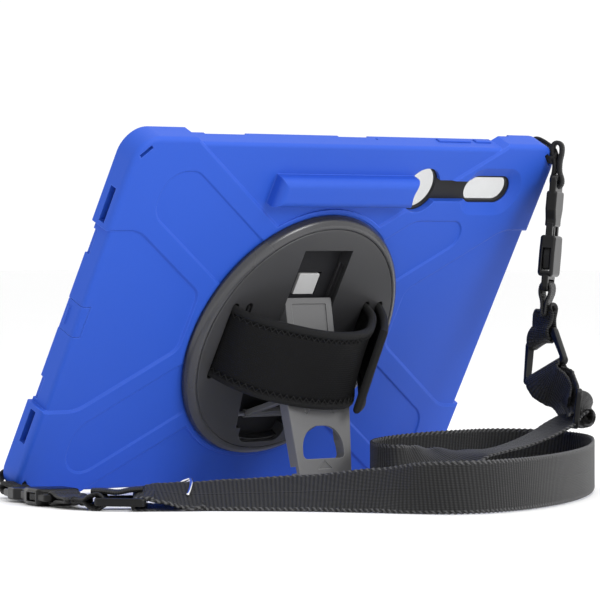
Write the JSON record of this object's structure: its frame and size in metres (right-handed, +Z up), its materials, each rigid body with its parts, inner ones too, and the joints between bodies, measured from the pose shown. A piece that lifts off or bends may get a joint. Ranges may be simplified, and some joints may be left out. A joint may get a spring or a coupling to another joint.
{
  "type": "tablet case",
  "caption": "Rugged tablet case with a soft cover on a hard shell, a turning disc with hand strap and folding kickstand, and a shoulder strap on its corners.",
  "frame": {"origin": "on the ground, under the middle of the case and its open stand", "axes": "+X along the case's width, to the right seen from behind; the disc and stand face -Y; +Z up; the case leans back 28 degrees"},
  "size_m": [0.4, 0.2927, 0.2074],
  "materials": {
    "silicone": "matt fine grain, bright blue",
    "shell_plastic": "fine texture, black",
    "frame_plastic": "satin black",
    "clear_film": "clear, glossy",
    "ring_plastic": "satin dark grey",
    "washer_plastic": "natural, slippery",
    "disc_plastic": "fine grain dark grey",
    "tab_plastic": "satin light grey",
    "kickstand_plastic": "satin mid grey",
    "steel": "plain steel",
    "strap_fabric": "ribbed weave, black, stitched edges",
    "webbing": "woven webbing, dark grey",
    "cord_fabric": "braided cord, black",
    "buckle_plastic": "satin black",
    "chrome_wire": "polished wire"
  },
  "bodies": {
    "case": {"silicone_cover": "silicone", "back_shell": "shell_plastic", "base_ring": "ring_plastic", "base_ring_screws": "steel", "slip_washer": "washer_plastic", "corner_loop_right": "cord_fabric", "corner_loop_left": "cord_fabric", "buckle_male_right": "buckle_plastic", "buckle_female_right": "buckle_plastic", "tie_right": "cord_fabric", "link_right": "webbing", "ring_right": "buckle_plastic", "slider_right": "buckle_plastic", "shoulder_strap": "webbing", "strap_riser": "webbing", "tie_left": "cord_fabric", "buckle_male_left": "buckle_plastic", "buckle_female_left": "buckle_plastic", "link_left": "webbing", "ring_left": "buckle_plastic", "keeper_left": "chrome_wire"},
    "disc": {"rotor_cover": "disc_plastic", "rotor_plate": "shell_plastic", "rotor_screws": "steel", "tab_spring": "steel", "hand_strap": "strap_fabric", "strut_pin": "steel"},
    "strut": {"kickstand_strut": "kickstand_plastic"},
    "leg": {"kickstand_leg": "kickstand_plastic", "knee_pin": "steel", "slide_pin": "steel"},
    "release_tab": {"release_tab": "tab_plastic"},
    "port_flap": {"port_flap": "silicone"},
    "volume_key": {"volume_key": "silicone"},
    "power_key": {"power_key": "silicone"},
    "front_frame": {"front_frame": "frame_plastic", "screen_film": "clear_film"}
  },
  "joints": [
    {"name": "disc_turn", "type": "hinge", "parent": "case", "child": "disc", "pos_m": [0, -0.00156, 0.09047], "axis": [0, -0.8818, -0.4716], "continuous": true},
    {"name": "kickstand_fold", "type": "hinge", "parent": "disc", "child": "strut", "pos_m": [0, 0.02088, 0.04429], "axis": [1, 0, 0], "range_deg": [-46, 0]},
    {"name": "knee_fold", "type": "hinge", "parent": "strut", "child": "leg", "pos_m": [0, -0.02087, 0.05615], "axis": [1, 0, 0], "range_deg": [0, 82.43]},
    {"name": "release_tab_press", "type": "slide", "parent": "disc", "child": "release_tab", "axis": [0, 0.8818, 0.4716], "range_m": [0, 0.001], "stiffness_N_per_m": 2500, "deforming": ["tab_spring"]},
    {"name": "port_flap_hinge", "type": "hinge", "parent": "case", "child": "port_flap", "pos_m": [-0.162, -0.00511, 0.09923], "axis": [0, -0.4716, 0.8818], "range_deg": [0, 100], "stiffness_Nm_per_rad": 0.02},
    {"name": "volume_key_press", "type": "slide", "parent": "case", "child": "volume_key", "axis": [0, 0.4716, -0.8818], "range_m": [0, 0.0008], "stiffness_N_per_m": 3000},
    {"name": "power_key_press", "type": "slide", "parent": "case", "child": "power_key", "axis": [0, 0.4716, -0.8818], "range_m": [0, 0.0008], "stiffness_N_per_m": 3000},
    {"name": "front_frame_lift", "type": "slide", "parent": "case", "child": "front_frame", "axis": [0, 0.8818, 0.4716], "range_m": [0, 0.03]}
  ],
  "couplings": [
    {"joint": "knee_fold", "follows": "kickstand_fold", "ratio": -1.7915}
  ]
}
